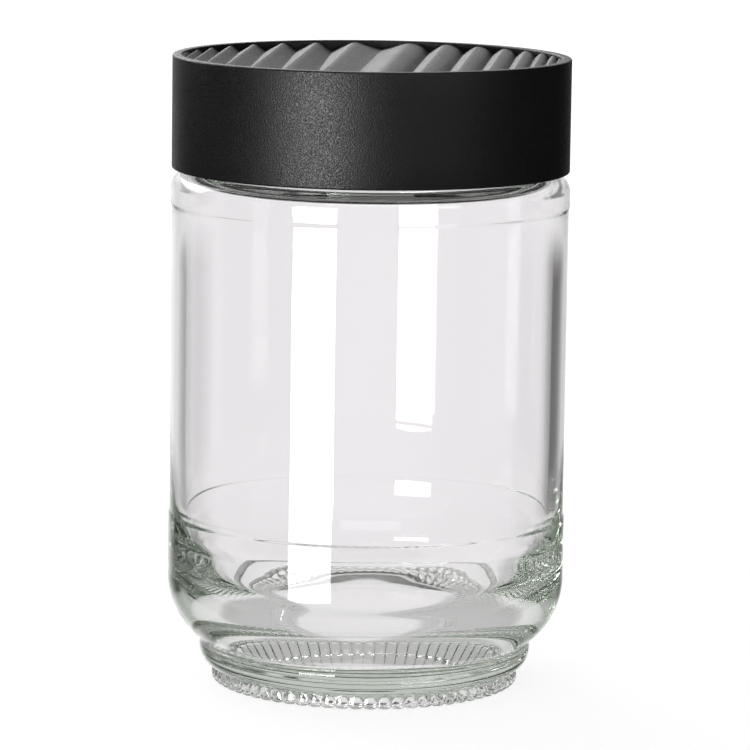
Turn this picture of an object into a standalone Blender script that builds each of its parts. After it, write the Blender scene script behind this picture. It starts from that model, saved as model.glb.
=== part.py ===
"""A wide-mouthed glass jar with a black screw lid: the glass, the lid and the liner that seals it.

Metres, +Z up. The origin is the middle of the ring that the jar stands on, and -Y is the front.
The lid is set down on the jar at its release angle, where its lugs lie between the neck's ramps.
"""

from math import asin, cos, degrees, pi, radians, sin

import bmesh
import bpy
from mathutils import Matrix

# Overall sizes
OVERALL_HEIGHT = 0.1344
BODY_RADIUS = 0.0425
LID_HEIGHT = 0.0241

# Glass body
GLASS_WALL = 0.0034
SHOULDER_RADIUS = 0.0039
SHOULDER_SHELF = 0.0010
SHOULDER_BAND = 0.0027
SHOULDER_WALL = 0.0027
INNER_SHOULDER_RADIUS = 0.0012
PANEL_RECESS = 0.00025
PANEL_STEP = 0.0012
HEEL_BAND = 0.0131
PANEL_FOOT_STEP = 0.0018
HEEL_RISE = 0.0137
HEEL_RUN = 0.0069
FOOT_HEIGHT = 0.0092
FOOT_RUN = 0.0025
RING_HEIGHT = 0.0032
RING_INSET = 0.0004
RING_ROUND = 0.0009
RING_WIDTH = 0.0030
PUSH_UP_HEIGHT = 0.0030
FLOOR_HEIGHT = 0.0089
FLOOR_DOME = 0.0006
BOWL_TOP = 0.0330
BOWL_REACH = 0.0237
BOWL_LEAN = radians(13.6)

# Glass neck
NECK_ROOT_ROUND = 0.0006
NECK_WALL = 0.0030
LIP_ROUND = 0.0009
RAMP_COUNT = 4
RAMP_SPAN = radians(58.0)
RAMP_THICKNESS = 0.0013
RAMP_FLANK = 0.0009
RAMP_FALL = 0.0010

# Lid
LID_INSET = 0.0002
LID_WALL = 0.0021
LID_EDGE_ROUND = 0.0004
DECK_THICKNESS = 0.0015
LUG_SPAN = radians(20.0)
LUG_THICKNESS = 0.0012
LUG_FLANK = 0.0009
LUG_HEIGHT_IN_LID = 0.0050

# Pleated relief on the lid
RELIEF_DROP = 0.0004
RELIEF_ROOT = 0.0004
RELIEF_TURN = radians(2.5)
PLEATS_A_SIDE = 7
MIDDLE_CREST_ANGLE = radians(8.5)
FIRST_PLEAT_ANGLE = radians(11.9)
PLEAT_ANGLE_LOSS = radians(0.75)
MIDDLE_VALLEY_DEPTH = 0.0015
LEAST_PLEAT_DEPTH = 0.0005
DEPTH_PITCH_SHARE = 0.18
BULGE_SHARE = 0.12
LEFT_VALLEY_SHARES = (0.575, 0.25)
RIGHT_VALLEY_SHARES = (0.52, 0.50)
MIDDLE_VALLEY_SHARES = ((-0.5, 0.62), (0.0, 1.0), (0.5, 0.62))

# Liner
LINER_THICKNESS = 0.0015
LINER_SIDE_GAP = 0.0004

# Fits
SEAT_GAP = 0.0003
THREAD_GAP = 0.0005
LUG_GAP = 0.0005
OVERRUN = 0.0008
MERGE = 0.00001

# Counts of facets
TURN_STEPS = 60
RAMP_STEPS = 12
LUG_STEPS = 5
PLEAT_ROWS = 2

# Places worked out from the sizes
LID_BOTTOM = OVERALL_HEIGHT - LID_HEIGHT
LID_RADIUS = BODY_RADIUS - LID_INSET
LID_INNER_RADIUS = LID_RADIUS - LID_WALL
SHOULDER_TOP = LID_BOTTOM - SEAT_GAP
SHOULDER_FOOT = SHOULDER_TOP - SHOULDER_RADIUS
HEEL_TOP = FOOT_HEIGHT + HEEL_RISE
NECK_RADIUS = BODY_RADIUS - SHOULDER_RADIUS - SHOULDER_SHELF - NECK_ROOT_ROUND
NECK_BORE_RADIUS = NECK_RADIUS - NECK_WALL
RAMP_RADIUS = LID_INNER_RADIUS - THREAD_GAP
LUG_RADIUS = NECK_RADIUS + THREAD_GAP
PANEL_RADIUS = BODY_RADIUS - PANEL_RECESS


def clear_scene():
    for thing in list(bpy.data.objects):
        bpy.data.objects.remove(thing, do_unlink=True)


def plain_material(name, colour, roughness, metallic=0.0, transmission=0.0):
    made = bpy.data.materials.new(name)
    made.use_nodes = True
    shader = made.node_tree.nodes["Principled BSDF"]
    shader.inputs["Base Color"].default_value = (*colour, 1.0)
    shader.inputs["Roughness"].default_value = roughness
    shader.inputs["Metallic"].default_value = metallic
    shader.inputs["Transmission Weight"].default_value = transmission
    made.diffuse_color = (*colour, 1.0)
    return made


def arc(centre, radii, from_angle, to_angle, steps):
    """Points (radius, height) on an elliptical arc, with angles from +X towards +Z."""
    points = []
    for i in range(steps + 1):
        angle = radians(from_angle + (to_angle - from_angle) * i / steps)
        points.append((centre[0] + radii[0] * cos(angle), centre[1] + radii[1] * sin(angle)))
    return points


def upright_arc(top, fall, run, steps):
    """Points on a circle that leaves its top point straight down and ends run further in, fall lower."""
    radius = (fall**2 + run**2) / (2 * run)
    end = -degrees(asin(fall / radius))
    return arc((top[0] - radius, top[1]), (radius, radius), 0, end, steps)


def mesh_object(name, mesh, material=None):
    made = bpy.data.objects.new(name, mesh)
    bpy.context.scene.collection.objects.link(made)
    if material:
        mesh.materials.append(material)
    return made


def turned_object(name, outline, material):
    """A solid of revolution. The outline starts and ends on the axis and runs down its outer side."""
    mesh = bpy.data.meshes.new(name)
    points = [(radius, 0.0, height) for radius, height in outline]
    edges = [(i, i + 1) for i in range(len(points) - 1)]
    mesh.from_pydata(points, edges, [])
    made = mesh_object(name, mesh, material)
    screw = made.modifiers.new("turned", "SCREW")
    screw.angle = 2 * pi
    screw.steps = TURN_STEPS
    screw.render_steps = TURN_STEPS
    screw.use_merge_vertices = True
    screw.merge_threshold = MERGE
    screw.use_smooth_shade = True
    return made


def helper_object(name, bm):
    """A closed form that a Boolean reads, left out of the finished part."""
    bmesh.ops.recalc_face_normals(bm, faces=bm.faces)
    mesh = bpy.data.meshes.new(name)
    bm.to_mesh(mesh)
    bm.free()
    made = mesh_object(name, mesh)
    made.hide_render = True
    made.display_type = "WIRE"
    return made


def unite(target, helper):
    union = target.modifiers.new("with " + helper.name, "BOOLEAN")
    union.operation = "UNION"
    union.solver = "EXACT"
    union.object = helper


def bars_on_a_circle(name, count, middle, span, steps, section, fall=0.0):
    """Short bars round the axis. Section gives a bar's corners at its middle, and its ends fade away."""
    bm = bmesh.new()
    root = section[0][0]
    for bar in range(count):
        start = middle + 2 * pi * bar / count - span / 2
        rings = []
        for i in range(steps + 1):
            angle = start + span * i / steps
            drop = fall * (1 - i / steps)
            end = i in (0, steps)
            ring = []
            for radius, height in section:
                reach = (root + radius) / 2 if end else radius
                ring.append(bm.verts.new((reach * cos(angle), reach * sin(angle), height - drop)))
            rings.append(ring)
        for first, second in zip(rings, rings[1:]):
            for i in range(len(section)):
                j = (i + 1) % len(section)
                bm.faces.new((first[i], first[j], second[j], second[i]))
        bm.faces.new(rings[0])
        bm.faces.new(rings[-1])
    return helper_object(name, bm)


# Glass jar


def jar_outer_side(lip_height):
    """Down the outside, from the lip's inner edge to the middle of the push-up."""
    foot_radius = BODY_RADIUS - HEEL_RUN
    ring_radius = foot_radius - FOOT_RUN - RING_INSET
    ring_inner_radius = ring_radius - RING_ROUND - RING_WIDTH
    panel_top = SHOULDER_FOOT - SHOULDER_BAND
    panel_foot = HEEL_TOP + HEEL_BAND
    lip = (LIP_ROUND, LIP_ROUND)
    points = []
    points += arc((NECK_BORE_RADIUS + LIP_ROUND, lip_height - LIP_ROUND), lip, 180, 90, 3)
    points += arc((NECK_RADIUS - LIP_ROUND, lip_height - LIP_ROUND), lip, 90, 0, 3)
    root = (NECK_RADIUS + NECK_ROOT_ROUND, SHOULDER_TOP + NECK_ROOT_ROUND)
    points += arc(root, (NECK_ROOT_ROUND, NECK_ROOT_ROUND), 180, 270, 2)
    shoulder = (BODY_RADIUS - SHOULDER_RADIUS, SHOULDER_FOOT)
    points += arc(shoulder, (SHOULDER_RADIUS, SHOULDER_RADIUS), 90, 0, 7)[1:]
    points.append((BODY_RADIUS, panel_top))
    points.append((PANEL_RADIUS, panel_top - PANEL_STEP))
    points.append((PANEL_RADIUS, panel_foot + PANEL_FOOT_STEP))
    points.append((BODY_RADIUS, panel_foot))
    points += upright_arc((BODY_RADIUS, HEEL_TOP), HEEL_RISE, HEEL_RUN, 7)
    points += upright_arc((foot_radius, FOOT_HEIGHT), FOOT_HEIGHT - RING_HEIGHT, FOOT_RUN, 4)[1:]
    points.append((ring_radius, RING_HEIGHT))
    points += arc((ring_radius - RING_ROUND, RING_ROUND), (RING_ROUND, RING_ROUND), 0, -90, 2)
    points += arc((0.0, 0.0), (ring_inner_radius, PUSH_UP_HEIGHT), 0, 90, 5)
    return points


def jar_inner_side():
    """Up the inside, from the middle of the floor, by the bowl of the thick base, to under the lip."""
    inner_radius = BODY_RADIUS - GLASS_WALL
    inner_round = INNER_SHOULDER_RADIUS
    neck_curve = inner_radius - inner_round - NECK_BORE_RADIUS
    bowl_drop = (BOWL_TOP - FLOOR_HEIGHT) / (1 - sin(BOWL_LEAN))
    bowl_middle = (inner_radius - BOWL_REACH * cos(BOWL_LEAN), FLOOR_HEIGHT + bowl_drop)
    shoulder_foot = SHOULDER_TOP - SHOULDER_WALL - inner_round
    points = [(0.0, FLOOR_HEIGHT + FLOOR_DOME)]
    points += arc(bowl_middle, (BOWL_REACH, bowl_drop), -90, -degrees(BOWL_LEAN), 10)
    points += arc((inner_radius - inner_round, shoulder_foot), (inner_round, inner_round), 0, 90, 3)
    crook = (NECK_BORE_RADIUS + neck_curve, shoulder_foot + inner_round + neck_curve)
    points += arc(crook, (neck_curve, neck_curve), 270, 180, 3)[1:]
    return points


def make_glass_jar(lip_height, ramp_underside):
    glass = plain_material("clear_glass", (0.93, 0.93, 0.95), 0.03, transmission=1.0)
    jar = turned_object("glass_jar", jar_inner_side() + jar_outer_side(lip_height), glass)
    section = [
        (NECK_RADIUS - OVERRUN, ramp_underside),
        (RAMP_RADIUS, ramp_underside),
        (RAMP_RADIUS, ramp_underside + RAMP_THICKNESS),
        (NECK_RADIUS, ramp_underside + RAMP_THICKNESS + RAMP_FLANK),
        (NECK_RADIUS - OVERRUN, ramp_underside + RAMP_THICKNESS + RAMP_FLANK),
    ]
    middle = -pi / 2 + pi / RAMP_COUNT
    fall = RAMP_FALL
    ramps = bars_on_a_circle("neck_ramps", RAMP_COUNT, middle, RAMP_SPAN, RAMP_STEPS, section, fall)
    unite(jar, ramps)
    return jar


# Lid


def pleat_lines():
    """Every crest and valley across the lid, as (far angle, near angle, depth), from left to right."""
    crests = [MIDDLE_CREST_ANGLE]
    for i in range(PLEATS_A_SIDE - 1):
        crests.append(crests[-1] + FIRST_PLEAT_ANGLE - PLEAT_ANGLE_LOSS * i)
    last_step = FIRST_PLEAT_ANGLE - PLEAT_ANGLE_LOSS * (PLEATS_A_SIDE - 1)
    crests.append(crests[-1] + last_step)

    def side_lines(valley_shares, bulged):
        lines = []
        for inner, outer in zip(crests, crests[1:]):
            pitch = LID_INNER_RADIUS * (sin(outer) - sin(inner))
            depth = LEAST_PLEAT_DEPTH + DEPTH_PITCH_SHARE * pitch
            far, near = (inner + (outer - inner) * share for share in valley_shares)
            lines.append((inner, inner, 0.0))
            lines.append((far, near, depth))
            if bulged:
                half = ((far + outer) / 2, (near + outer) / 2)
                lines.append((*half, depth / 2 - depth * BULGE_SHARE))
        return lines[:-1] if bulged else lines

    left = [(-far, -near, depth) for far, near, depth in side_lines(LEFT_VALLEY_SHARES, False)]
    middle = [
        (MIDDLE_CREST_ANGLE * place, MIDDLE_CREST_ANGLE * place, MIDDLE_VALLEY_DEPTH * depth)
        for place, depth in MIDDLE_VALLEY_SHARES
    ]
    return left[::-1] + middle + side_lines(RIGHT_VALLEY_SHARES, True)


def recess_depth():
    """From the rim's top to the flat under the pleats."""
    return RELIEF_DROP + max(depth for _, _, depth in pleat_lines()) + RELIEF_ROOT


def relief_form():
    """The pleated block, a little wider than the rim's inside so that it runs into the wall."""
    radius = LID_INNER_RADIUS + OVERRUN
    crest_height = LID_HEIGHT - RELIEF_DROP
    base_height = LID_HEIGHT - recess_depth() - OVERRUN
    bm = bmesh.new()
    grid = []
    for far, near, depth in pleat_lines():
        line = []
        for i in range(PLEAT_ROWS + 1):
            share = i / PLEAT_ROWS
            x = radius * (sin(far) * (1 - share) + sin(near) * share)
            y = radius * (cos(far) * (1 - share) - cos(near) * share)
            line.append(bm.verts.new((x, y, crest_height - depth)))
        grid.append(line)
    left_end = bm.verts.new((-radius, 0.0, crest_height))
    right_end = bm.verts.new((radius, 0.0, crest_height))
    for first, second in zip(grid, grid[1:]):
        for i in range(PLEAT_ROWS):
            bm.faces.new((first[i], first[i + 1], second[i + 1], second[i]))
    for end, line in ((left_end, grid[0]), (right_end, grid[-1])):
        for i in range(PLEAT_ROWS):
            bm.faces.new((end, line[i], line[i + 1]))
    edge = [left_end] + [line[0] for line in grid] + [right_end]
    edge += [line[-1] for line in reversed(grid)]
    base = [bm.verts.new((v.co.x, v.co.y, base_height)) for v in edge]
    for i in range(len(edge)):
        j = (i + 1) % len(edge)
        bm.faces.new((edge[i], edge[j], base[j], base[i]))
    bm.faces.new(base)
    bmesh.ops.rotate(bm, verts=bm.verts, matrix=Matrix.Rotation(-RELIEF_TURN, 3, "Z"))
    return helper_object("lid_relief", bm)


def lid_outline():
    """Local heights, with 0 at the skirt's bottom edge."""
    edge = (LID_EDGE_ROUND, LID_EDGE_ROUND)
    recess = LID_HEIGHT - recess_depth()
    points = [(0.0, recess), (LID_INNER_RADIUS, recess)]
    points += arc((LID_INNER_RADIUS + LID_EDGE_ROUND, LID_HEIGHT - LID_EDGE_ROUND), edge, 180, 90, 2)
    points += arc((LID_RADIUS - LID_EDGE_ROUND, LID_HEIGHT - LID_EDGE_ROUND), edge, 90, 0, 3)
    points += arc((LID_RADIUS - LID_EDGE_ROUND, LID_EDGE_ROUND), edge, 0, -90, 2)
    points += [(LID_INNER_RADIUS, 0.0), (LID_INNER_RADIUS, recess - DECK_THICKNESS)]
    points.append((0.0, recess - DECK_THICKNESS))
    return points


def make_lid():
    black = plain_material("black_plastic", (0.02, 0.02, 0.021), 0.45)
    lid = turned_object("lid_shell", lid_outline(), black)
    unite(lid, relief_form())
    section = [
        (LID_INNER_RADIUS + OVERRUN, LUG_HEIGHT_IN_LID),
        (LUG_RADIUS, LUG_HEIGHT_IN_LID),
        (LUG_RADIUS, LUG_HEIGHT_IN_LID - LUG_THICKNESS),
        (LID_INNER_RADIUS, LUG_HEIGHT_IN_LID - LUG_THICKNESS - LUG_FLANK),
        (LID_INNER_RADIUS + OVERRUN, LUG_HEIGHT_IN_LID - LUG_THICKNESS - LUG_FLANK),
    ]
    lugs = bars_on_a_circle("lid_lugs", RAMP_COUNT, -pi / 2, LUG_SPAN, LUG_STEPS, section)
    unite(lid, lugs)
    return lid


# Liner


def make_liner():
    """Local heights, with 0 at the face that meets the lip."""
    foam = plain_material("white_foam", (0.82, 0.82, 0.8), 0.8)
    radius = LID_INNER_RADIUS - LINER_SIDE_GAP
    outline = [(0.0, LINER_THICKNESS), (radius, LINER_THICKNESS), (radius, 0.0), (0.0, 0.0)]
    return turned_object("sealing_liner", outline, foam)


def make_part():
    clear_scene()
    deck_underside = OVERALL_HEIGHT - recess_depth() - DECK_THICKNESS
    liner_height = deck_underside - SEAT_GAP - LINER_THICKNESS
    lip_height = liner_height - SEAT_GAP
    ramp_underside = LID_BOTTOM + LUG_HEIGHT_IN_LID + LUG_GAP + RAMP_FALL
    make_glass_jar(lip_height, ramp_underside)
    axis = bpy.data.objects.new("lid_axis", None)
    bpy.context.scene.collection.objects.link(axis)
    axis.location = (0.0, 0.0, lip_height)
    lid = make_lid()
    lid.parent = axis
    lid.location = (0.0, 0.0, LID_BOTTOM - lip_height)
    for helper in ("lid_relief", "lid_lugs"):
        bpy.data.objects[helper].parent = lid
    liner = make_liner()
    liner.parent = axis
    liner.location = (0.0, 0.0, liner_height - lip_height)


make_part()
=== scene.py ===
"""A wide-mouthed glass jar with a black screw lid, dressed for its picture."""

from math import asin, atan2, cos, degrees, hypot, pi, radians, sin, sqrt, tan

import bmesh
import bpy
from mathutils import Matrix, Vector


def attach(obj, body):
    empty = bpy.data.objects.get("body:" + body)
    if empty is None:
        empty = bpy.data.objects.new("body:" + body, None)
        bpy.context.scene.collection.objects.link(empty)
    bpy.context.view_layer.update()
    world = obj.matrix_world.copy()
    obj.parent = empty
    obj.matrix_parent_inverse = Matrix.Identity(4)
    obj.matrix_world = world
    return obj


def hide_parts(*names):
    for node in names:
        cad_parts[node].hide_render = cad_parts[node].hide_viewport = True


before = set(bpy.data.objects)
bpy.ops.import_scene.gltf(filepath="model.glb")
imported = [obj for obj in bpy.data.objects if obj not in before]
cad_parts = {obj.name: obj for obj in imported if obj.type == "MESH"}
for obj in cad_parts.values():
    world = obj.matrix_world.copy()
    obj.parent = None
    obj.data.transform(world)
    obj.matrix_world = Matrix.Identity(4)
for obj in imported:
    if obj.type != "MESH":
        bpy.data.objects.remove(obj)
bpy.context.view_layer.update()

# Sizes shared with the solids
OVERALL_HEIGHT = 0.1344
BODY_RADIUS = 0.0425
LID_BOTTOM = 0.1103
SHOULDER_TOP = 0.1100
LIP_HEIGHT = 0.128047
LINER_BOTTOM = 0.128347
LINER_THICKNESS = 0.0015
DECK_UNDERSIDE = 0.130147
RECESS_FLOOR = 0.131647
HEEL_TOP = 0.0229
PANEL_RADIUS = 0.04225
NECK_RADIUS = 0.0370
NECK_BORE_RADIUS = 0.0340
LID_RADIUS = 0.0423
LID_INNER_RADIUS = 0.0402
RAMP_UNDERSIDE = 0.1168

# Points nearer than this are one point
SAME_POINT = 0.000002
# How near a point has to be to count as lying on a wall
ON_WALL = 0.00005
MIDDLE = (0, 0, 0)
# The plane that an outline starts from, before it is merged to a point
SEED_SIZE = 0.001


# Tools of the bench


def leave_all():
    """Nothing stays selected, so that the next tool acts on its own piece alone."""
    bpy.ops.object.select_all(action="DESELECT")


def pick(piece):
    leave_all()
    piece.select_set(True)
    bpy.context.view_layer.objects.active = piece


def open_piece(piece, select_by="VERT"):
    pick(piece)
    bpy.ops.object.mode_set(mode="EDIT")
    bpy.ops.mesh.select_mode(type=select_by)


def close_piece():
    bpy.ops.object.mode_set(mode="OBJECT")


def fix_place(piece):
    """The piece's place goes into its mesh."""
    pick(piece)
    bpy.ops.object.transform_apply(location=True, rotation=True, scale=True)


def named(piece, name):
    piece.name = name
    piece.data.name = name
    return piece


def select_where(piece, wanted, kind):
    """In edit mode, selects what the test wants and nothing else."""
    bm = bmesh.from_edit_mesh(piece.data)
    for parts in (bm.verts, bm.edges, bm.faces):
        for part in parts:
            part.select = False
    for part in getattr(bm, kind):
        if wanted(part):
            part.select_set(True)
    bm.select_flush_mode()
    bmesh.update_edit_mesh(piece.data)


def select_all():
    bpy.ops.mesh.select_all(action="SELECT")


def face_outwards():
    select_all()
    bpy.ops.mesh.normals_make_consistent(inside=False)


def turn_about_axis(angle):
    """In edit mode, turns what is selected about the jar's axis."""
    bpy.ops.transform.rotate(value=angle, orient_axis="Z", center_override=MIDDLE)


def press_vertices(piece, moved):
    """Moves the vertices one by one: the function takes a place and gives the new one."""
    bm = bmesh.from_edit_mesh(piece.data)
    for vertex in bm.verts:
        vertex.co = moved(vertex.co)
    bmesh.update_edit_mesh(piece.data)


def apply_modifier(piece, modifier):
    pick(piece)
    bpy.ops.object.modifier_apply(modifier=modifier.name)


def smooth(piece, angle):
    pick(piece)
    bpy.ops.object.shade_smooth_by_angle(angle=radians(angle))


def unite(piece, helper):
    """Welds a closed helper to a piece and throws the helper away."""
    weld = piece.modifiers.new("weld", "BOOLEAN")
    weld.operation = "UNION"
    weld.solver = "EXACT"
    weld.object = helper
    apply_modifier(piece, weld)
    bpy.data.objects.remove(helper, do_unlink=True)


def clamped(value):
    return max(0.0, min(1.0, value))


def eased_share(share):
    return share * share * (3 - 2 * share)


def arc(centre, radii, from_angle, to_angle, steps):
    """Points (radius, height) on an elliptical arc, with angles from +X towards +Z."""
    points = []
    for i in range(steps + 1):
        angle = radians(from_angle + (to_angle - from_angle) * i / steps)
        points.append((centre[0] + radii[0] * cos(angle), centre[1] + radii[1] * sin(angle)))
    return points


def round_corner(x, z, radius, from_angle, to_angle, steps):
    return arc((x, z), (radius, radius), from_angle, to_angle, steps)


def upright_arc(top, fall, run, steps):
    """Points on a circle that leaves its top point straight down and ends run further in, fall lower."""
    radius = (fall**2 + run**2) / (2 * run)
    return round_corner(top[0] - radius, top[1], radius, 0, -degrees(asin(fall / radius)), steps)


def eased(start, end, steps):
    """Points from one to another, upright at both ends. The ends are left out."""
    points = []
    for i in range(1, steps):
        share = i / steps
        ease = eased_share(share)
        points.append((start[0] + (end[0] - start[0]) * ease, start[1] + (end[1] - start[1]) * share))
    return points


def straight(start, end, steps):
    """Points between two ends. The ends are left out."""
    shares = [i / steps for i in range(1, steps)]
    return [(start[0] + (end[0] - start[0]) * s, start[1] + (end[1] - start[1]) * s) for s in shares]


def turn(name, outline, segments):
    """Draws an outline from axis to axis, turns it once round and leaves the piece in edit mode."""
    leave_all()
    first = outline[0]
    bpy.ops.mesh.primitive_plane_add(size=SEED_SIZE, location=(first[0], 0.0, first[1]))
    piece = named(bpy.context.object, name)
    fix_place(piece)
    open_piece(piece)
    select_all()
    bpy.ops.mesh.merge(type="CENTER")
    for before, after in zip(outline, outline[1:]):
        step = (after[0] - before[0], 0.0, after[1] - before[1])
        bpy.ops.mesh.extrude_region_move(TRANSFORM_OT_translate={"value": step})
    close_piece()
    lathe = piece.modifiers.new("lathe", "SCREW")
    lathe.angle = 2 * pi
    lathe.steps = segments
    lathe.render_steps = segments
    lathe.use_merge_vertices = True
    lathe.merge_threshold = SAME_POINT
    apply_modifier(piece, lathe)
    open_piece(piece)
    select_all()
    bpy.ops.mesh.remove_doubles(threshold=SAME_POINT)
    face_outwards()
    return piece


# Glass jar: inside

INNER_RADIUS = 0.0391
BOWL_TOP = 0.0330
BOWL_TILT = 13.6
BOWL_REACH = 0.0237
FLOOR_HEIGHT = 0.0089
FLOOR_DOME = 0.0006
FLOOR_STEPS = 6
BOWL_DROP = (BOWL_TOP - FLOOR_HEIGHT) / (1 - sin(radians(BOWL_TILT)))
BOWL_CENTRE = (INNER_RADIUS - BOWL_REACH * cos(radians(BOWL_TILT)), FLOOR_HEIGHT + BOWL_DROP)
INNER_SHOULDER_FOOT = 0.1061
INNER_SHOULDER_ROUND = 0.0012

# Glass jar: outside, from the lip down

LIP_ROUND = 0.0009
NECK_FOOT_ROUND = 0.0006
SHOULDER_ROUND = 0.0039
SHOULDER_SINK = 0.0001
PANEL_TOP_EDGE = 0.1034
PANEL_TOP = 0.1022
PANEL_FOOT = 0.0370
PANEL_FOOT_EDGE = 0.0361
HEEL_FALL = 0.0137
HEEL_RUN = 0.0073
FOOT_RADIUS = 0.0356
FOOT_HEIGHT = 0.0092
FOOT_BEAD = (0.0010, 0.0013)
FOOT_BEAD_FALL = 0.0016
FOOT_BEAD_START = 52
FOOT_FALL = 0.0044
FOOT_RUN = 0.0025
RING_RADIUS = 0.0327
RING_HEIGHT = 0.0032
RING_FILLET = (0.0002, 0.0001)
RING_ROUND = 0.0009
PUSH_UP_RADIUS = 0.0288
PUSH_UP_HEIGHT = 0.0030

# Knurls on the ring

KNURLS = 68
COLUMNS_IN_A_KNURL = 8
JAR_COLUMNS = KNURLS * COLUMNS_IN_A_KNURL
KNURL_RISE = 0.00038
KNURL_DEPTH = 0.00050
KNURL_HALF_WIDTH_SHARE = 0.46
KNURL_ARCH_FOOT = 0.0004
KNURL_ARCH_HEIGHT = RING_HEIGHT - 0.0006
KNURL_SINK_SHARE = 0.4
KNURL_OUTER_FADE = 0.0010
KNURL_INNER_FADE = 0.0012
KNURL_INNER_END = 0.0242
KNURL_UNDERSIDE_RADIUS = 0.0300
GLASS_SMOOTHING = 50

# How far a thread ramp stands out of the neck, as a share, and its height over the ramp's underside
RAMP_PROFILE = (
    (0.00, -0.00030), (0.06, -0.00012), (0.22, -0.00003), (0.80, 0.00000), (0.94, 0.00010),
    (1.00, 0.00036), (1.00, 0.00080), (0.96, 0.00112), (0.82, 0.00138), (0.30, 0.00190),
    (0.08, 0.00212), (0.00, 0.00240),
)
RAMP_COUNT = 4
RAMP_PITCH = 2 * pi / RAMP_COUNT
FIRST_RAMP = -pi / 2 + pi / RAMP_COUNT
RAMP_SPAN = radians(58.0)
RAMP_FADE = radians(4.0)
RAMP_RETURN = radians(16.0)
RAMP_FALL = 0.0010
RAMP_REACH = 0.0027

# Waviness of the inside: each wave's share, its number round the jar and its start
WAVES = ((0.50, 2, 0.7), (0.30, 3, 2.1), (0.20, 5, -0.4))
# Rings of a wave that climbs the bowl: their share, and radians a metre
RIPPLE_SHARE = 0.6
RIPPLE_RATE = 760
WALL_WAVE = 0.00003
BOWL_WAVE = 0.00012
BOWL_SETTLING = 0.6
BOWL_MAX_RADIUS = 0.03555
BOWL_WAVE_TOP = 0.040
BOWL_WAVE_RADIUS = 0.015
WAVE_TOP = 0.1000
WAVE_FOOT = FLOOR_HEIGHT - 0.0001
WAVE_FADE = 0.012
STILL_RADIUS = 0.002


def inner_outline():
    """From the middle of the inner floor up to the neck's bore."""
    points = [(0.0, FLOOR_HEIGHT + FLOOR_DOME)]
    for i in range(1, FLOOR_STEPS):
        share = i / FLOOR_STEPS
        lift = FLOOR_DOME * (0.5 + 0.5 * cos(pi * share))
        points.append((BOWL_CENTRE[0] * share, FLOOR_HEIGHT + lift))
    points += arc(BOWL_CENTRE, (BOWL_REACH, BOWL_DROP), -90, -BOWL_TILT, 26)
    points += straight((INNER_RADIUS, BOWL_TOP), (INNER_RADIUS, INNER_SHOULDER_FOOT), 12)
    bend = INNER_SHOULDER_ROUND
    points += round_corner(INNER_RADIUS - bend, INNER_SHOULDER_FOOT, bend, 0, 90, 5)
    curve = INNER_RADIUS - bend - NECK_BORE_RADIUS
    crook = (NECK_BORE_RADIUS + curve, INNER_SHOULDER_FOOT + bend + curve)
    points += round_corner(*crook, curve, 270, 180, 8)[1:]
    return points


def lip_and_neck_outline():
    lip_middle = LIP_HEIGHT - LIP_ROUND
    points = round_corner(NECK_BORE_RADIUS + LIP_ROUND, lip_middle, LIP_ROUND, 180, 90, 5)
    points += round_corner(NECK_RADIUS - LIP_ROUND, lip_middle, LIP_ROUND, 90, 0, 5)
    points += [(NECK_RADIUS, RAMP_UNDERSIDE + height) for _, height in reversed(RAMP_PROFILE)]
    fillet = NECK_FOOT_ROUND
    points += round_corner(NECK_RADIUS + fillet, SHOULDER_TOP + fillet, fillet, 180, 270, 4)
    return points


def body_outline():
    """Shoulder, label panel and heel."""
    middle = (BODY_RADIUS - SHOULDER_ROUND, SHOULDER_TOP - SHOULDER_SINK - SHOULDER_ROUND)
    points = round_corner(*middle, SHOULDER_ROUND, 90, 0, 14)
    above, top = (BODY_RADIUS, PANEL_TOP_EDGE), (PANEL_RADIUS, PANEL_TOP)
    foot, below = (PANEL_RADIUS, PANEL_FOOT), (BODY_RADIUS, PANEL_FOOT_EDGE)
    points += [above] + eased(above, top, 5) + [top] + straight(top, foot, 4)
    points += [foot] + eased(foot, below, 6) + [below]
    points += upright_arc((BODY_RADIUS, HEEL_TOP), HEEL_FALL, HEEL_RUN, 16)
    return points


def base_outline():
    """The foot with its bead, the ring that the jar stands on and the push-up inside it."""
    bead_height = FOOT_HEIGHT - FOOT_BEAD_FALL
    points = arc((FOOT_RADIUS - FOOT_BEAD[0], bead_height), FOOT_BEAD, FOOT_BEAD_START, 0, 5)
    points += upright_arc((FOOT_RADIUS, bead_height), FOOT_FALL, FOOT_RUN, 8)[1:]
    fillet_middle = (RING_RADIUS + RING_FILLET[0], RING_HEIGHT + RING_FILLET[1])
    points += arc(fillet_middle, RING_FILLET, 90, 180, 1)[1:]
    points += straight((RING_RADIUS, RING_HEIGHT), (RING_RADIUS, RING_ROUND), 8)
    points += round_corner(RING_RADIUS - RING_ROUND, RING_ROUND, RING_ROUND, 0, -90, 5)
    points += straight((RING_RADIUS - RING_ROUND, 0.0), (PUSH_UP_RADIUS, 0.0), 4)
    points += arc((0.0, 0.0), (PUSH_UP_RADIUS, PUSH_UP_HEIGHT), 0, 90, 14)
    return points


def ramp_share(angle):
    """How much of a ramp stands at an angle, and how far it has risen along its way."""
    along = (angle - FIRST_RAMP + RAMP_PITCH / 2) % RAMP_PITCH - RAMP_PITCH / 2
    stand = clamped((RAMP_SPAN / 2 - abs(along)) / RAMP_FADE)
    rise = (along + RAMP_SPAN / 2) / RAMP_SPAN
    if rise < 0:
        rise = min(1.0, -rise * RAMP_SPAN / RAMP_RETURN)
    elif rise > 1:
        rise = 1.0
    return eased_share(stand), rise


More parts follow.
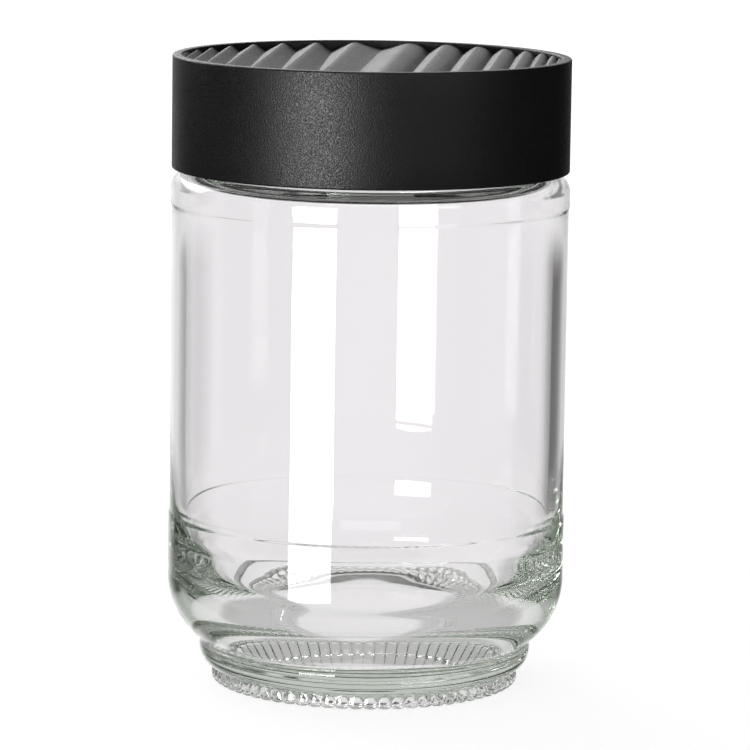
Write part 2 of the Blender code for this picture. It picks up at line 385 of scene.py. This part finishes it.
def knurled(place):
    """Ribs across the ring that the jar stands on, each with an arched top on the ring's outside."""
    radius = hypot(place.x, place.y)
    if place.z > RING_HEIGHT + ON_WALL or radius < KNURL_INNER_END:
        return place
    across = (atan2(place.y, place.x) * KNURLS / (2 * pi)) % 1.0 - 0.5
    rib = 1 - (across / KNURL_HALF_WIDTH_SHARE) ** 2
    arch = rib - (max(place.z - KNURL_ARCH_FOOT, 0.0) / KNURL_ARCH_HEIGHT) ** 2
    rib = sqrt(rib) if rib > 0 else 0.0
    arch = sqrt(arch) if arch > 0 else 0.0
    outer = clamped((radius - RING_RADIUS + KNURL_OUTER_FADE) / KNURL_OUTER_FADE)
    inner = clamped((radius - KNURL_INNER_END) / KNURL_INNER_FADE)
    low = max(0.0, 1 - place.z / RING_ROUND) if radius > KNURL_UNDERSIDE_RADIUS else 1.0
    reach = radius + (KNURL_RISE * arch - KNURL_RISE * KNURL_SINK_SHARE) * outer
    lift = KNURL_DEPTH * (1 - rib) * low * inner
    return Vector((place.x * reach / radius, place.y * reach / radius, place.z + lift))


def flowed(place):
    """The inside of blown glass isn't quite round: it waves a little, most of all in the thick bowl."""
    radius = hypot(place.x, place.y)
    inner_reach = BOWL_MAX_RADIUS if place.z < HEEL_TOP else INNER_RADIUS + ON_WALL
    if not (WAVE_FOOT <= place.z <= WAVE_TOP and STILL_RADIUS <= radius < inner_reach):
        return place
    angle = atan2(place.y, place.x)
    wave = sum(share * sin(count * angle + start) for share, count, start in WAVES)
    ripple = cos(RIPPLE_RATE * (place.z - FLOOR_HEIGHT)) * RIPPLE_SHARE
    bowl = clamped((BOWL_WAVE_TOP - place.z) / WAVE_FADE) * min(1.0, radius / BOWL_WAVE_RADIUS)
    fade = min(1.0, (WAVE_TOP - place.z) / WAVE_FADE)
    shift = (WALL_WAVE * wave + BOWL_WAVE * bowl * (wave + ripple)) * fade
    reach = radius + shift
    sunk = place.z - shift * bowl * BOWL_SETTLING
    return Vector((place.x * reach / radius, place.y * reach / radius, sunk))


def ramped(place):
    """The four thread ramps, drawn out of the neck."""
    radius = hypot(place.x, place.y)
    if abs(radius - NECK_RADIUS) > 10 * SAME_POINT:
        return place
    for share, height in RAMP_PROFILE:
        if abs(place.z - RAMP_UNDERSIDE - height) < SAME_POINT / 2:
            stand, rise = ramp_share(atan2(place.y, place.x))
            reach = radius + RAMP_REACH * share * stand
            lowered = place.z - RAMP_FALL * (1 - rise)
            return Vector((place.x * reach / radius, place.y * reach / radius, lowered))
    return place


def make_glass_jar():
    outline = inner_outline() + lip_and_neck_outline() + body_outline() + base_outline()
    jar = turn("moulded_glass_jar", outline, JAR_COLUMNS)
    press_vertices(jar, knurled)
    press_vertices(jar, ramped)
    press_vertices(jar, flowed)
    close_piece()
    smooth(jar, GLASS_SMOOTHING)
    return jar


# Lid

LID_COLUMNS = 360
LID_EDGE_ROUND = 0.0004
LID_FOOT_ROUND = 0.0002
DECK_ROUND = 0.0003
LID_SMOOTHING = 32

# The pleats get narrower from the middle outwards, in degrees
FIRST_CREST = 8.5
FIRST_PLEAT_WIDTH = 11.9
PLEAT_NARROWING = 0.75
PLEATS_ON_A_SIDE = 7
PLEAT_ROWS = 10
FLANK_STEPS = 7
CREST_ROUND_SHARE = 0.22
PLEAT_LEAST_DEPTH = 0.0005
PLEAT_DEPTH_SHARE = 0.18
# Where a valley lies between its crests at the far and the near edge, and how far the outer flank
# bulges and the inner one lips over at its foot
LEFT_PLEATS = ((0.575, 0.25), 0.0, 0.0)
RIGHT_PLEATS = ((0.54, 0.54), 0.10, 0.6)
MIDDLE_STEPS = 8
MIDDLE_DEPTH = 0.0016
MIDDLE_DIP = 0.06
MIDDLE_DIP_WIDTH = 0.25
# How the crests lean: a shift at the far edge and what comes off it towards the near one
FAR_SHIFT = 0.0004
NEAR_SHIFT = 0.0030
RELIEF_TURN = 2.5
# The relief reaches into the rim and the deck so that the weld takes, and its crests lie under the rim
RELIEF_OVERLAP = 0.0008
CREST_SINK = 0.0004
RELIEF_BLOCK = 0.004
VALLEY_BEVEL = 0.00012
VALLEY_LEAST_RUN = 0.002
VALLEY_LEAST_BEND = radians(20)


def fallen(share):
    """How far a flank has fallen at a share of its run: round at the crest and sharp in the valley."""
    rounded = CREST_ROUND_SHARE
    fall = share * share / (2 * rounded) if share < rounded else share - rounded / 2
    return fall / (1 - rounded / 2)


def side_pleats(valley_shares, bulge, lip):
    """The lines of one side, from the middle outwards, as (far angle, near angle, depth)."""
    crests = [radians(FIRST_CREST)]
    for i in range(PLEATS_ON_A_SIDE):
        crests.append(crests[-1] + radians(FIRST_PLEAT_WIDTH - PLEAT_NARROWING * i))
    lines = []
    for inner, outer in zip(crests, crests[1:]):
        width = outer - inner
        depth = PLEAT_LEAST_DEPTH + PLEAT_DEPTH_SHARE * LID_INNER_RADIUS * (sin(outer) - sin(inner))
        for i in range(FLANK_STEPS):
            share = i / FLANK_STEPS
            far, near = (inner + width * valley * share for valley in valley_shares)
            lines.append((far, near, depth * (fallen(share) * (1 - lip) + share**4 * lip)))
        for i in range(FLANK_STEPS):
            share = 1 - i / FLANK_STEPS
            far, near = (outer - width * (1 - valley) * share for valley in valley_shares)
            lines.append((far, near, depth * (fallen(share) - bulge * sin(pi * share))))
    return lines


def middle_pleat():
    """The wide shallow valley between the two middle crests."""
    lines = []
    for i in range(1, 2 * MIDDLE_STEPS):
        place = i / MIDDLE_STEPS - 1
        depth = fallen(1 - abs(place)) - MIDDLE_DIP * max(0.0, 1 - abs(place) / MIDDLE_DIP_WIDTH)
        angle = radians(FIRST_CREST) * place
        lines.append((angle, angle, MIDDLE_DEPTH * depth))
    return lines


def make_relief():
    """The pleated field inside the rim: a flat grid, its columns laid on the pleats' lines."""
    radius = LID_INNER_RADIUS + RELIEF_OVERLAP
    crest_height = OVERALL_HEIGHT - CREST_SINK
    left = [(-far, -near, depth) for far, near, depth in side_pleats(*LEFT_PLEATS)]
    lines = [(-pi / 2, -pi / 2, 0.0)] + left[::-1] + middle_pleat()
    lines += side_pleats(*RIGHT_PLEATS) + [(pi / 2, pi / 2, 0.0)]
    leave_all()
    bpy.ops.mesh.primitive_grid_add(
        x_subdivisions=len(lines) - 1, y_subdivisions=PLEAT_ROWS, size=2.0, location=MIDDLE
    )
    relief = named(bpy.context.object, "relief")

    def laid(place):
        far, near, depth = lines[round((place.x + 1) / 2 * (len(lines) - 1))]
        share = (1 - place.y) / 2
        x = radius * (sin(far) * (1 - share) + sin(near) * share)
        x += (FAR_SHIFT - NEAR_SHIFT * share) * cos(near)
        y = radius * (cos(far) * (1 - share) - cos(near) * share)
        return Vector((x, y, crest_height - depth))

    def valley(edge):
        if len(edge.link_faces) != 2 or edge.is_boundary:
            return False
        start, end = edge.verts
        runs_along = abs(start.co.y - end.co.y) > VALLEY_LEAST_RUN
        return runs_along and edge.calc_face_angle(0.0) > VALLEY_LEAST_BEND

    open_piece(relief, "EDGE")
    press_vertices(relief, laid)
    select_all()
    bpy.ops.mesh.remove_doubles(threshold=SAME_POINT / 2)
    select_where(relief, valley, "edges")
    bpy.ops.mesh.bevel(offset=VALLEY_BEVEL, segments=2, clamp_overlap=True)
    face_outwards()
    down = (0, 0, -RELIEF_BLOCK)
    bpy.ops.mesh.extrude_region_move(TRANSFORM_OT_translate={"value": down})
    flat = RECESS_FLOOR - RELIEF_OVERLAP
    bpy.ops.transform.resize(value=(1, 1, 0), center_override=(0, 0, flat))
    face_outwards()
    turn_about_axis(radians(RELIEF_TURN))
    close_piece()
    return relief


def lid_outline():
    """From the recess's middle over the rim, down the skirt, up its inside and under the deck."""
    edge = LID_EDGE_ROUND
    top = OVERALL_HEIGHT - edge
    bottom = LID_BOTTOM + edge
    foot = LID_FOOT_ROUND
    corner = (LID_INNER_RADIUS - DECK_ROUND, DECK_UNDERSIDE - DECK_ROUND)
    points = [(0.0, RECESS_FLOOR)]
    points += straight((0.0, RECESS_FLOOR), (LID_INNER_RADIUS, RECESS_FLOOR), 3)
    points.append((LID_INNER_RADIUS, RECESS_FLOOR))
    points += round_corner(LID_INNER_RADIUS + edge, top, edge, 180, 90, 5)
    points += round_corner(LID_RADIUS - edge, top, edge, 90, 0, 6)
    points += straight((LID_RADIUS, top), (LID_RADIUS, bottom), 4)
    points += round_corner(LID_RADIUS - edge, bottom, edge, 0, -90, 5)
    points += round_corner(LID_INNER_RADIUS + foot, LID_BOTTOM + foot, foot, 270, 180, 3)
    points.append((LID_INNER_RADIUS, corner[1]))
    points += round_corner(*corner, DECK_ROUND, 0, 90, 3)[1:]
    points += straight((corner[0], DECK_UNDERSIDE), (0.0, DECK_UNDERSIDE), 3)
    points.append((0.0, DECK_UNDERSIDE))
    return points


LUG_COUNT = 4
LUG_SPAN = radians(20.0)
LUG_STEPS = 10
LUG_RADIUS = 0.0375
LUG_TOP = 0.1153
LUG_HEIGHT = 0.0021
LUG_SLICE = 0.0004
LUG_OVERLAP = 0.0008
LUG_CHAMFER = 0.0008
# A face counts as facing a way from this share of its normal
FACING = 0.9


def make_lug():
    """One lug inside the skirt: a thin slice of it, swept along a short arc."""
    leave_all()
    reach = LID_INNER_RADIUS + LUG_OVERLAP - LUG_RADIUS
    bpy.ops.mesh.primitive_cube_add(
        size=1.0,
        location=(LUG_RADIUS + reach / 2, 0.0, LUG_TOP - LUG_HEIGHT / 2),
        scale=(reach, LUG_SLICE, LUG_HEIGHT),
    )
    lug = named(bpy.context.object, "lid_lug")
    fix_place(lug)

    def inner_lower(edge):
        return all(
            hypot(v.co.x, v.co.y) < LUG_RADIUS + 2 * ON_WALL and v.co.z < LUG_TOP - LUG_HEIGHT / 2
            for v in edge.verts
        )

    open_piece(lug, "FACE")
    select_where(lug, lambda face: face.normal.y > FACING, "faces")
    for _ in range(LUG_STEPS):
        bpy.ops.mesh.extrude_region_move(TRANSFORM_OT_translate={"value": MIDDLE})
        turn_about_axis(-LUG_SPAN / LUG_STEPS)
    select_all()
    turn_about_axis(LUG_SPAN / 2)
    bpy.ops.mesh.select_mode(type="EDGE")
    select_where(lug, inner_lower, "edges")
    bpy.ops.mesh.bevel(offset=LUG_CHAMFER, segments=3, clamp_overlap=True)
    face_outwards()
    turn_about_axis(radians(90))
    close_piece()
    return lug


def make_lid():
    lid = turn("moulded_lid", lid_outline(), LID_COLUMNS)
    close_piece()
    unite(lid, make_relief())
    lug = make_lug()
    for i in range(LUG_COUNT):
        pick(lug)
        bpy.ops.object.duplicate(linked=False)
        copy = bpy.context.object
        open_piece(copy)
        select_all()
        turn_about_axis(2 * pi / LUG_COUNT * i)
        close_piece()
        unite(lid, copy)
    bpy.data.objects.remove(lug, do_unlink=True)
    smooth(lid, LID_SMOOTHING)
    return lid


# Liner

LINER_COLUMNS = 180
LINER_CLEARANCE = 0.0004
LINER_ROUND = 0.0003
LINER_SMOOTHING = 40
# The print of the jar's lip: (radius, depth)
LIP_PRINT = ((0.0330, 0.0), (0.0336, 0.00004), (0.0341, 0.00012), (0.0369, 0.00012), (0.0374, 0.00004))


def make_liner():
    low, high = LINER_BOTTOM, LINER_BOTTOM + LINER_THICKNESS
    edge = LID_INNER_RADIUS - LINER_CLEARANCE - LINER_ROUND
    outline = [(0.0, low)]
    outline += [(place, low + press) for place, press in LIP_PRINT]
    outline += round_corner(edge, low + LINER_ROUND, LINER_ROUND, 270, 360, 4)
    outline += round_corner(edge, high - LINER_ROUND, LINER_ROUND, 0, 90, 4)
    outline.append((0.0, high))
    liner = turn("foam_liner", outline, LINER_COLUMNS)
    close_piece()
    smooth(liner, LINER_SMOOTHING)
    return liner


# Finishes

# Which of the Texture Coordinate node's outputs is the piece's own place, and which the sky's
OBJECT_PLACE = 3
SKY_PLACE = 0
WHITE = (1.0, 1.0, 1.0, 1.0)
# A noise spot is about this much of the pattern's own unit
NOISE_SPOT = 0.5

GLASS_COLOUR = (0.986, 0.968, 0.985, 1.0)
GLASS_DEPTH_COLOUR = (0.68, 0.725, 0.67, 1.0)
GLASS_DEPTH_DENSITY = 26.0
GLASS_IOR = 1.51
GLASS_WAVE_SIZE = 0.016
GLASS_WAVE_HEIGHT = 0.0001
GLASS_WAVE_STRENGTH = 0.25
GLASS_HAZE_SIZE = 0.004
GLASS_ROUGHNESS = 0.004
GLASS_HAZE = 0.008

PLASTIC_IOR = 1.6
PLASTIC_DARK = (0.0030, 0.0022, 0.0028, 1.0)
PLASTIC_LIGHT = (0.0046, 0.0036, 0.0044, 1.0)
PLASTIC_CLOUD_SIZE = 0.006
PLASTIC_GRAIN_SIZE = 0.00016
PLASTIC_GRAIN_HEIGHT = 0.00007
# Roughness where there is no grain, and what clouds and grain add
PLASTIC_ROUGHNESS = 0.16
PLASTIC_CLOUDINESS = 0.05
PLASTIC_GRAININESS = 0.58

FOAM_DARK = (0.80, 0.80, 0.77, 1.0)
FOAM_LIGHT = (0.85, 0.85, 0.83, 1.0)
FOAM_CLOUD_SIZE = 0.004
FOAM_CELLS_A_METRE = 2600.0
FOAM_CELL_HEIGHT = 0.00006
FOAM_CELL_STRENGTH = 0.5
FOAM_ROUGHNESS = 0.70
FOAM_CLOUDINESS = 0.15


class Signal:
    """A number that varies over a surface. Arithmetic on it adds Math nodes."""

    def __init__(self, recipe, socket):
        self.recipe = recipe
        self.socket = socket

    def worked(self, operation, first, second):
        return self.recipe.node("ShaderNodeMath", {"operation": operation}, {0: first, 1: second})

    def __add__(self, other):
        return self.worked("ADD", self, other)

    def __radd__(self, other):
        return self.worked("ADD", other, self)

    def __rsub__(self, other):
        return self.worked("SUBTRACT", other, self)

    def __mul__(self, other):
        return self.worked("MULTIPLY", self, other)

    def __rmul__(self, other):
        return self.worked("MULTIPLY", other, self)

    def larger(self, other):
        return self.worked("MAXIMUM", self, other)

    def smaller(self, other):
        return self.worked("MINIMUM", self, other)


class Recipe:
    """The nodes of one finish, the floor or the sky."""

    def __init__(self, tree):
        self.tree = tree

    def node(self, kind, settings=None, sockets=None, output=0):
        made = self.tree.nodes.new(kind)
        for name, value in (settings or {}).items():
            setattr(made, name, value)
        for name, value in (sockets or {}).items():
            self.feed(made.inputs[name], value)
        return Signal(self, made.outputs[output])

    def feed(self, socket, value):
        if isinstance(value, Signal):
            self.tree.links.new(value.socket, socket)
        else:
            socket.default_value = value

    def place(self, output):
        return self.node("ShaderNodeTexCoord", output=output)

    def stepped(self, value, start, end):
        """0 before the start, 1 after the end, smooth between."""
        settings = {"interpolation_type": "SMOOTHSTEP"}
        sockets = {"Value": value, "From Min": start, "From Max": end}
        return self.node("ShaderNodeMapRange", settings, sockets)

    def band(self, value, rise, fall):
        """0 outside the band and 1 within it, with a smooth rise and fall."""
        return self.stepped(value, *rise) * (1 - self.stepped(value, *fall))

    def grain(self, size, detail=2.0, roughness=0.5):
        """Even noise on the piece itself, with spots of about this size in metres."""
        return self.node(
            "ShaderNodeTexNoise", None,
            {
                "Vector": self.place(OBJECT_PLACE), "Scale": NOISE_SPOT / size,
                "Detail": detail, "Roughness": roughness,
            },
        )

    def blend(self, factor, first, second):
        """A colour between two, by a signal."""
        sockets = {"Factor": factor, "A": first, "B": second}
        return self.node("ShaderNodeMix", {"data_type": "RGBA"}, sockets, output=2)

    def bump(self, height, distance, strength=1.0):
        return self.node(
            "ShaderNodeBump", None, {"Height": height, "Distance": distance, "Strength": strength}
        )


def new_material(name):
    material = bpy.data.materials.new(name)
    material.use_nodes = True
    nodes = material.node_tree.nodes
    return material, Recipe(material.node_tree), nodes["Principled BSDF"], nodes["Material Output"]


def glass_finish():
    material, recipe, shader, output = new_material("clear_moulded_glass")
    sockets = shader.inputs
    sockets["Base Color"].default_value = GLASS_COLOUR
    sockets["Transmission Weight"].default_value = 1.0
    sockets["IOR"].default_value = GLASS_IOR
    depth = recipe.node(
        "ShaderNodeVolumeAbsorption", None,
        {"Color": GLASS_DEPTH_COLOUR, "Density": GLASS_DEPTH_DENSITY},
    )
    recipe.feed(output.inputs["Volume"], depth)
    recipe.feed(sockets["Roughness"], GLASS_ROUGHNESS + GLASS_HAZE * recipe.grain(GLASS_HAZE_SIZE))
    waves = recipe.grain(GLASS_WAVE_SIZE, detail=1.0)
    recipe.feed(sockets["Normal"], recipe.bump(waves, GLASS_WAVE_HEIGHT, GLASS_WAVE_STRENGTH))
    return material


def plastic_finish():
    material, recipe, shader, _ = new_material("black_moulded_plastic")
    sockets = shader.inputs
    sockets["IOR"].default_value = PLASTIC_IOR
    clouds = recipe.grain(PLASTIC_CLOUD_SIZE)
    fine = recipe.grain(PLASTIC_GRAIN_SIZE, detail=1.0, roughness=0.6)
    recipe.feed(sockets["Base Color"], recipe.blend(clouds, PLASTIC_DARK, PLASTIC_LIGHT))
    roughness = PLASTIC_ROUGHNESS + PLASTIC_CLOUDINESS * clouds + PLASTIC_GRAININESS * fine
    recipe.feed(sockets["Roughness"], roughness)
    recipe.feed(sockets["Normal"], recipe.bump(fine, PLASTIC_GRAIN_HEIGHT))
    return material


def foam_finish():
    material, recipe, shader, _ = new_material("white_cell_foam")
    sockets = shader.inputs
    where = recipe.place(OBJECT_PLACE)
    cells = recipe.node(
        "ShaderNodeTexVoronoi", None, {"Vector": where, "Scale": FOAM_CELLS_A_METRE}
    )
    clouds = recipe.grain(FOAM_CLOUD_SIZE)
    recipe.feed(sockets["Base Color"], recipe.blend(clouds, FOAM_DARK, FOAM_LIGHT))
    recipe.feed(sockets["Roughness"], FOAM_ROUGHNESS + FOAM_CLOUDINESS * clouds)
    recipe.feed(sockets["Normal"], recipe.bump(cells, FOAM_CELL_HEIGHT, FOAM_CELL_STRENGTH))
    return material


def dress(piece, material, body, node):
    piece.data.materials.clear()
    piece.data.materials.append(material)
    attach(piece, body)
    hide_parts(node)


# Floor and sky

FLOOR_RADIUS = 6.0
FLOOR_SINK = 0.0001
FLOOR_COLOUR = (0.86, 0.86, 0.86, 1.0)
FLOOR_ROUGHNESS = 0.9
# To the camera the floor shines by itself, less round the jar, where its shadow has to show
FLOOR_SHINE = 1.15
FLOOR_SHINE_NEAR = 0.72
FLOOR_SHINE_FADE = (0.10, 0.45)

# What the room is like round the jar. Bearings are in degrees right of the camera's own direction,
# so 0 is the backdrop straight behind the jar, and heights are shares of a look straight up.
LEFT_CARD = ((12, 28), (60, 80))
LEFT_CARD_SHADE = 0.66
RIGHT_CARD = ((8, 28), (50, 60))
CARD_HEIGHTS = ((-0.32, -0.24), (-0.10, -0.03))
CARD_SHADE = 0.82
BACKDROP = ((-38, -15), (0, 30))
BACKDROP_SHINE = 0.982
ROOM_SHINE = 0.018
ROOM = (75, 120)
ROOM_SHADE = 0.35
SIDE_WALL = ((50, 80), (120, 160))
SIDE_WALL_SHADE = 0.85
TABLE_HEIGHTS = (-0.50, -0.26)
TABLE_SHADE = 0.38
LEVEL_HEIGHTS = (-0.60, -0.30)
SKY_FILL = 0.55


def make_floor():
    leave_all()
    bpy.ops.mesh.primitive_circle_add(
        vertices=128, radius=FLOOR_RADIUS, fill_type="NGON", location=(0, 0, -FLOOR_SINK)
    )
    ground = named(bpy.context.object, "pale_floor")
    material, recipe, shader, output = new_material("pale_floor")
    shader.inputs["Base Color"].default_value = FLOOR_COLOUR
    shader.inputs["Roughness"].default_value = FLOOR_ROUGHNESS
    where = recipe.place(OBJECT_PLACE)
    away = recipe.node("ShaderNodeVectorMath", {"operation": "LENGTH"}, {0: where}, output=1)
    is_camera_ray = recipe.node("ShaderNodeLightPath")
    shine = recipe.node("ShaderNodeEmission", None, {"Color": WHITE, "Strength": FLOOR_SHINE})
    farther = (1 - FLOOR_SHINE_NEAR) * recipe.stepped(away, *FLOOR_SHINE_FADE)
    share = (FLOOR_SHINE_NEAR + farther) * is_camera_ray
    matt = Signal(recipe, shader.outputs[0])
    mixed = recipe.node("ShaderNodeMixShader", None, {0: share, 1: matt, 2: shine})
    recipe.feed(output.inputs["Surface"], mixed)
    ground.data.materials.append(material)
    ground.visible_glossy = False
    ground.visible_transmission = False


def make_sky():
    world = bpy.data.worlds.new("studio")
    bpy.context.scene.world = world
    world.use_nodes = True
    recipe = Recipe(world.node_tree)

    def turned(ends):
        return tuple(radians(end) for end in ends)

    def bearing_band(value, band):
        return recipe.band(value, turned(band[0]), turned(band[1]))

    split = recipe.node("ShaderNodeSeparateXYZ", None, {0: recipe.place(SKY_PLACE)}).socket.node
    x, y, z = (Signal(recipe, socket) for socket in split.outputs)
    path = recipe.node("ShaderNodeLightPath").socket.node
    camera, glossy, through = (
        Signal(recipe, path.outputs[name])
        for name in ("Is Camera Ray", "Is Glossy Ray", "Is Transmission Ray")
    )
    bearing = recipe.node("ShaderNodeMath", {"operation": "ARCTAN2"}, {0: x, 1: y})
    left = 0 - bearing
    left_card = LEFT_CARD_SHADE * bearing_band(left, LEFT_CARD)
    card = left_card.larger(bearing_band(bearing, RIGHT_CARD)) * recipe.band(z, *CARD_HEIGHTS)
    backdrop = bearing_band(bearing, BACKDROP)
    room = recipe.stepped(left.larger(bearing), *turned(ROOM))
    side = bearing_band(bearing, SIDE_WALL)
    table = 1 - recipe.stepped(z, *TABLE_HEIGHTS)
    level = recipe.stepped(z, *LEVEL_HEIGHTS)
    walls = (1 - ROOM_SHADE * room) * (1 - SIDE_WALL_SHADE * side)
    shade = (1 - CARD_SHADE * card) * (1 - level * (1 - walls)) * (1 - TABLE_SHADE * table)
    strength = camera + through * shade + glossy * (ROOM_SHINE + BACKDROP_SHINE * backdrop)
    any_seen = (camera + through + glossy).smaller(1.0)
    background = world.node_tree.nodes["Background"]
    background.inputs["Color"].default_value = WHITE
    recipe.feed(background.inputs["Strength"], strength.smaller(1.0) + SKY_FILL * (1 - any_seen))


# Lamps and camera

LAMP_DISTANCE = 1.0
# The lamps' elevations are counted from this height of the jar
LAMP_LEVEL = 0.06
# Bearing in degrees right of the camera's side, lowest and highest elevation, width, radiance
LAMPS = {
    "left_softbox": (-31.5, -13.9, 9.0, 0.44, 15.4),
    "right_softbox": (42, 8, 28, 0.40, 1.7),
    "top_softbox": (-4, 30, 44, 0.90, 1.8),
    "back_softbox": (215, 16, 46, 1.2, 2.8),
}
NOT_SEEN_THROUGH_GLASS = "back_softbox"

CAMERA_PLACE = (0.0015, -0.948, 0.2117)
CAMERA_DIP = 8.74
CAMERA_ROLL = 0.80
CAMERA_LENS = 215.1
CAMERA_SENSOR = 36.0


def softbox(name, bearing, lowest, highest, width, radiance):
    low = LAMP_DISTANCE * tan(radians(lowest))
    high = LAMP_DISTANCE * tan(radians(highest))
    middle = (low + high) / 2 + LAMP_LEVEL
    data = bpy.data.lights.new(name, "AREA")
    data.shape = "RECTANGLE"
    data.size = width
    data.size_y = high - low
    data.energy = radiance * pi * data.size * data.size_y
    lamp = bpy.data.objects.new(name, data)
    bpy.context.scene.collection.objects.link(lamp)
    across, back = sin(radians(bearing)), -cos(radians(bearing))
    lamp.location = (LAMP_DISTANCE * across, LAMP_DISTANCE * back, middle)
    aim = Vector((0, 0, middle)) - lamp.location
    lamp.rotation_euler = aim.to_track_quat("-Z", "Y").to_euler()
    lamp.visible_transmission = name != NOT_SEEN_THROUGH_GLASS


def make_camera():
    data = bpy.data.cameras.new("camera")
    data.lens = CAMERA_LENS
    data.sensor_width = CAMERA_SENSOR
    camera = bpy.data.objects.new("camera", data)
    bpy.context.scene.collection.objects.link(camera)
    camera.matrix_world = (
        Matrix.Translation(CAMERA_PLACE)
        @ Matrix.Rotation(radians(90 - CAMERA_DIP), 4, "X")
        @ Matrix.Rotation(radians(CAMERA_ROLL), 4, "Z")
    )
    bpy.context.scene.camera = camera


# Light goes round and round in the thick glass base before it comes out
GLASS_BOUNCES = 48
scene = bpy.context.scene
scene.cycles.max_bounces = GLASS_BOUNCES
scene.cycles.transmission_bounces = GLASS_BOUNCES
scene.cycles.glossy_bounces = GLASS_BOUNCES
scene.view_settings.view_transform = "Standard"
make_camera()
dress(make_glass_jar(), glass_finish(), "jar", "glass_jar")
dress(make_lid(), plastic_finish(), "lid", "lid_shell")
dress(make_liner(), foam_finish(), "liner", "sealing_liner")
make_floor()
make_sky()
for name, sizes in LAMPS.items():
    softbox(name, *sizes)
